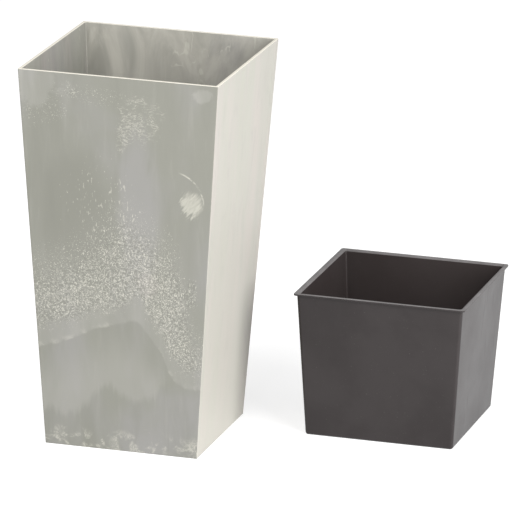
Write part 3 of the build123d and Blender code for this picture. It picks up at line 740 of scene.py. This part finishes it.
def foam():
    """Closed-cell foam with a pored skin."""
    s = Shader("float_foam")
    pores = s.cells(700.0)
    tone = s.mix(s.step(pores, 0.1, 0.5), srgb(196, 190, 176), srgb(232, 228, 216))
    return s.finish(Base_Color=tone, Roughness=s.spread(pores, 0.0, 0.6, 0.85, 0.7),
                    Normal=s.bump(pores, 0.0004, 0.7))


def steel():
    """Stainless steel with draw lines."""
    s = Shader("drawn_stainless")
    lines = s.noise(800.0, 3.0, 0.6, 0.0, (1.0, 1.0, 0.04))
    tone = s.mix(lines, srgb(176, 176, 174), srgb(206, 206, 204))
    return s.finish(Base_Color=tone, Metallic=1.0, Roughness=s.spread(lines, 0.3, 0.7, 0.24, 0.38),
                    Normal=s.bump(lines, 0.00003, 0.4))


def clear_plastic():
    """Clear plastic, slightly hazed."""
    s = Shader("gauge_clear_plastic")
    haze = s.noise(90.0, 3.0, 0.6)
    tone = s.mix(haze, srgb(236, 243, 243), srgb(250, 252, 252))
    return s.finish(Base_Color=tone, Roughness=s.spread(haze, 0.3, 0.7, 0.04, 0.12), IOR=1.49,
                    Transmission_Weight=0.92, Normal=s.bump(s.noise(40.0, 2.0, 0.5), 0.0003, 0.2))


MATERIALS = {
    "outer_pot": stone_effect(),
    "liner": moulded("liner_anthracite", srgb(34, 29, 29), 0.36, mottle=0.06, specular=0.32,
                     shell=liner_highlight_and_inside),
    "separator_tray": moulded("tray_dark_grey", srgb(92, 94, 96), 0.5, mottle=0.08),
    "wick_baskets": moulded("basket_black", srgb(44, 44, 45), 0.48),
    "fill_tube": moulded("tube_black", srgb(40, 40, 41), 0.40),
    "drain_plug": moulded("plug_black", srgb(38, 38, 38), 0.45),
    "fill_cap": moulded("cap_black", srgb(34, 34, 35), 0.22, grain_depth=POLISHED_DEPTH),
    "overflow_pipe": moulded("kit_grey", srgb(122, 123, 124), 0.45, mottle=0.08),
    "drain_plug_seal": rubber(),
    "wicks": felt(),
    "float": foam(),
    "indicator_rod": steel(),
    "indicator_tip": moulded("tip_red", srgb(190, 26, 20), 0.22, grain_depth=POLISHED_DEPTH, mottle=0.06),
    "gauge_tube": clear_plastic(),
}
SAME_AS = {
    "overflow_seal": "drain_plug_seal",
    "overflow_nut": "overflow_pipe",
    "overflow_strainer": "overflow_pipe",
    "fill_strainer": "overflow_pipe",
    "float_cage": "overflow_pipe",
    "cap_hinge_pin": "indicator_rod",
    "gauge_cap": "gauge_tube",
}


def dress_nodes():
    """Gives each CAD node its material."""
    for name, node in NODES.items():
        node.data.materials.clear()
        node.data.materials.append(MATERIALS[SAME_AS.get(name, name)])


# ---------------------------------------------------------------- felt wicks, in metres
WICK_RADIUS = 0.0150
SKIN_INSET = 0.0008
WICK_LOBES = 7
LOBE_DEPTH = 0.00055
LOBE_TWIST = 14.0
WICK_CREASES = 19
CREASE_DEPTH = 0.00022
CREASE_TWIST = 31.0
CREASE_LAG = -2.3
FOOT_ROUND = 0.0015
CROWN_ROUND = 0.0028
END_PULL = 0.14
END_INSETS = (0.8, 0.6, 0.4, 0.2)
DIMPLE = 0.0004
NEXT_PHASE = 1.7
TIE_DROPS = (0.006, 0.030, 0.055)
TIE_RADIUS = 0.0006
TIE_SQUEEZE = 0.0013
TIE_REACH = 0.0022
TIE_SIDES = 8
WICK_STEPS_AROUND = 112
WICK_LEVELS = 46
AROUND = [2 * math.pi * step / WICK_STEPS_AROUND for step in range(WICK_STEPS_AROUND)]
FELT_SLOT, THREAD_SLOT = 0, 1


def wick_skin(angle, height, length, phase):
    """Radius of a bunched felt wick: soft lobes that twist a little, nipped in under each tie."""
    lobes = LOBE_DEPTH * math.cos(WICK_LOBES * angle + phase + LOBE_TWIST * height)
    creases = CREASE_DEPTH * math.cos(WICK_CREASES * angle + CREASE_LAG * phase + CREASE_TWIST * height)
    radius = WICK_RADIUS - SKIN_INSET + lobes + creases
    for drop in TIE_DROPS:
        radius -= TIE_SQUEEZE * math.exp(-((height - (length - drop)) / TIE_REACH) ** 2)
    return radius


def ring_of(bm, centre, radii, height):
    """A ring of vertices round a centre, one radius for each angle of AROUND."""
    return [bm.verts.new((centre[0] + radius * math.cos(angle), centre[1] + radius * math.sin(angle), height))
            for radius, angle in zip(radii, AROUND)]


def bridge(bm, first, second, slot=FELT_SLOT):
    """Closes the strip between two rings with quads."""
    for step in range(WICK_STEPS_AROUND):
        after = (step + 1) % WICK_STEPS_AROUND
        face = bm.faces.new((first[step], first[after], second[after], second[step]))
        face.material_index = slot


def wick_end(bm, edge, centre, height, phase, is_top):
    """Closes one end of a wick with ever smaller rings, dimpled between the lobes at the top."""
    outer = edge
    for inset in END_INSETS:
        inner = []
        for vertex, angle in zip(edge, AROUND):
            lobe = 1 - math.cos(WICK_LOBES * angle + phase)
            dimple = DIMPLE * lobe * inset if is_top else 0.0
            inner.append(bm.verts.new((centre[0] + (vertex.co.x - centre[0]) * inset,
                                       centre[1] + (vertex.co.y - centre[1]) * inset, height - dimple)))
        if is_top:
            bridge(bm, outer, inner)
        else:
            bridge(bm, inner, outer)
        outer = inner
    bm.faces.new(outer if is_top else outer[::-1])


def wick_column(bm, centre, low, high, phase):
    """One felt wick: a lobed column with a rounded foot and a crowned, dimpled top."""
    length = high - low
    rings = []
    for level in range(WICK_LEVELS + 1):
        height = length * level / WICK_LEVELS
        round_off = min(height / FOOT_ROUND, (length - height) / CROWN_ROUND, 1.0)
        shrink = math.sqrt(max(0.0, 1.0 - (1.0 - round_off) ** 2))
        pull = 1 - END_PULL * (1 - shrink)
        radii = [wick_skin(angle, height, length, phase) * pull for angle in AROUND]
        rings.append(ring_of(bm, centre, radii, low + height))
    for lower, upper in zip(rings, rings[1:]):
        bridge(bm, lower, upper)
    wick_end(bm, rings[0], centre, low, phase, is_top=False)
    wick_end(bm, rings[-1], centre, high, phase, is_top=True)


def wick_ties(bm, centre, low, high, phase):
    """The threads wound round one wick, two turns side by side at each tie."""
    length = high - low
    for drop in TIE_DROPS:
        seat = [wick_skin(angle, length - drop, length, phase) + TIE_RADIUS / 2 for angle in AROUND]
        for side in (-1, 1):
            middle = high - drop + side * TIE_RADIUS
            tracks = []
            for corner in range(TIE_SIDES):
                turn = 2 * math.pi * corner / TIE_SIDES
                radii = [radius + TIE_RADIUS * math.cos(turn) for radius in seat]
                tracks.append(ring_of(bm, centre, radii, middle + TIE_RADIUS * math.sin(turn)))
            for track, following in zip(tracks, tracks[1:] + tracks[:1]):
                bridge(bm, track, following, THREAD_SLOT)


def add_wicks():
    """Four bunched felt wicks in the baskets, in place of the plain solids."""
    low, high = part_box("wicks")
    left, right = low[0] + WICK_RADIUS, high[0] - WICK_RADIUS
    near, far = low[1] + WICK_RADIUS, high[1] - WICK_RADIUS
    bm = bmesh.new()
    for index, centre in enumerate(((left, near), (right, near), (right, far), (left, far))):
        wick_column(bm, centre, low[2], high[2], NEXT_PHASE * index)
        wick_ties(bm, centre, low[2], high[2], NEXT_PHASE * index)
    mesh = bpy.data.meshes.new("felt_wicks")
    bm.to_mesh(mesh)
    bm.free()
    mesh.materials.append(MATERIALS["wicks"])
    mesh.materials.append(thread())
    mesh.polygons.foreach_set("use_smooth", [True] * len(mesh.polygons))
    wicks = placed("felt_wicks", mesh)
    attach(wicks, "tray")
    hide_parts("wicks")


# ---------------------------------------------------------------- stage
def facing(target, azimuth, elevation, distance, roll=0.0):
    """The matrix of a camera or light that looks at a target, from angles in degrees."""
    turn, rise = math.radians(azimuth), math.radians(elevation)
    back = Vector((math.sin(turn) * math.cos(rise), -math.cos(turn) * math.cos(rise), math.sin(rise)))
    look = back.to_track_quat("Z", "Y").to_matrix().to_4x4()
    return Matrix.Translation(target + back * distance) @ look @ Matrix.Rotation(math.radians(roll), 4, "Z")


def add_camera():
    data = bpy.data.cameras.new("camera")
    data.lens = CAMERA_LENS
    data.sensor_width = CAMERA_SENSOR
    data.clip_end = CAMERA_CLIP_END
    camera = placed("camera", data)
    camera.matrix_world = facing(CAMERA_AIM, CAMERA_AZIMUTH, CAMERA_ELEVATION, CAMERA_DISTANCE, CAMERA_ROLL)
    bpy.context.scene.camera = camera


def add_floor():
    """A wide white floor, with a faint glow so that it stays white behind the object."""
    half = FLOOR_SIZE / 2
    mesh = bpy.data.meshes.new("floor")
    mesh.from_pydata([(-half, -half, 0), (half, -half, 0), (half, half, 0), (-half, half, 0)], [],
                     [(0, 1, 2, 3)])
    mesh.materials.append(Shader("floor_white").finish(
        Base_Color=FLOOR_TONE, Roughness=FLOOR_ROUGHNESS, Specular_IOR_Level=FLOOR_SHINE,
        Emission_Color=WHITE, Emission_Strength=FLOOR_GLOW))
    floor = placed("floor", mesh)


def add_light():
    """A white world and the soft boxes."""
    world = bpy.data.worlds.new("studio")
    bpy.context.scene.world = world
    world.use_nodes = True
    backdrop = world.node_tree.nodes["Background"]
    backdrop.inputs["Color"].default_value = WHITE
    backdrop.inputs["Strength"].default_value = WORLD_STRENGTH
    middle = Vector((LINER_X / 2, 0.0, POT_HEIGHT / 2))
    for name, (azimuth, elevation, distance, size, power) in SOFT_BOXES.items():
        data = bpy.data.lights.new(name, "AREA")
        data.size = size
        data.energy = power
        placed(name, data).matrix_world = facing(middle, azimuth, elevation, distance)


dress_nodes()
add_wicks()
add_camera()
add_floor()
add_light()
bpy.context.scene.view_settings.view_transform = "Standard"
